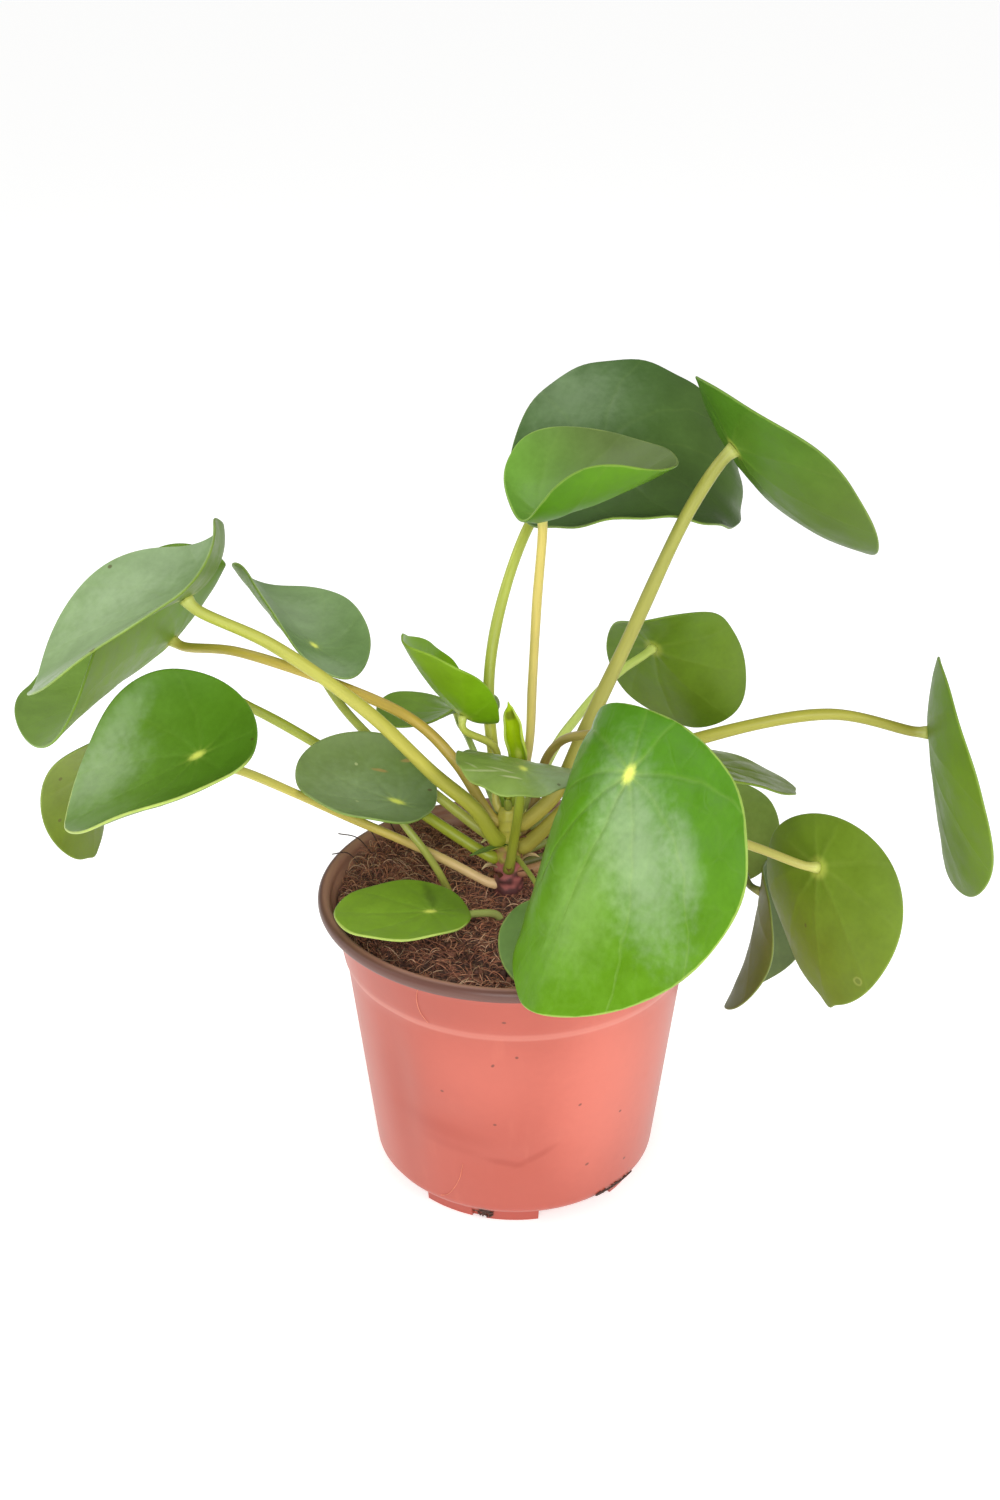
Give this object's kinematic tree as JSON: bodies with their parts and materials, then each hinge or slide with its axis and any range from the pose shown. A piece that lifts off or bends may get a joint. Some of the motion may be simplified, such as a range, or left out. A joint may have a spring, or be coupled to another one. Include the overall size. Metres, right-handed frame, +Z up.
{
  "type": "potted pilea",
  "caption": "Potted Pilea peperomioides: round coin-shaped leaves on long stalks that spring from a short stem, growing in soil in a plain coral plastic nursery pot.",
  "frame": {"origin": "on the pot's axis, in the plane that the pot stands on", "axes": "+Z up along the pot's axis, -Y towards the viewer of the picture, +X to the viewer's right"},
  "size_m": [0.294, 0.1864, 0.2497],
  "materials": {
    "pot_plastic": "thin formed coral plastic, semi-gloss, brown on the inside",
    "soil": "dark brown coir and peat, rough and fibrous",
    "stem": "pinkish green-brown stem with old leaf scars",
    "leaf": "smooth fleshy dark green leaf, waxy sheen above, paler and matter below",
    "young_leaf": "smooth fleshy bright green young leaf, glossy above",
    "stalk": "smooth yellow-green to ochre leaf stalk"
  },
  "bodies": {
    "root": {"pot": "pot_plastic", "soil": "soil", "stem": "stem", "blade_left_high_front": "leaf", "stalk_left_high_front": "stalk", "blade_left_high_rear": "leaf", "stalk_left_high_rear": "stalk", "blade_left_rear": "leaf", "stalk_left_rear": "stalk", "blade_left_middle": "leaf", "stalk_left_middle": "stalk", "blade_left_low": "leaf", "stalk_left_low": "stalk", "blade_centre_left": "leaf", "stalk_centre_left": "stalk", "blade_soil_left": "leaf", "stalk_soil_left": "stalk", "blade_soil_front": "leaf", "stalk_soil_front": "stalk", "blade_front": "young_leaf", "stalk_front": "stalk", "blade_centre": "leaf", "stalk_centre": "stalk", "blade_young_left": "young_leaf", "stalk_young_left": "stalk", "blade_rear_left": "leaf", "stalk_rear_left": "stalk", "blade_furled": "young_leaf", "stalk_furled": "stalk", "blade_top": "leaf", "stalk_top": "stalk", "blade_top_cup": "young_leaf", "stalk_top_cup": "stalk", "blade_top_right": "leaf", "stalk_top_right": "stalk", "blade_right_rear": "leaf", "stalk_right_rear": "stalk", "blade_far_right": "leaf", "stalk_far_right": "stalk", "blade_right_low": "leaf", "stalk_right_low": "stalk", "blade_right_folded": "leaf", "stalk_right_folded": "stalk", "blade_right_shaded": "leaf", "stalk_right_shaded": "stalk", "blade_right_level": "leaf", "stalk_right_level": "stalk"}
  },
  "joints": []
}
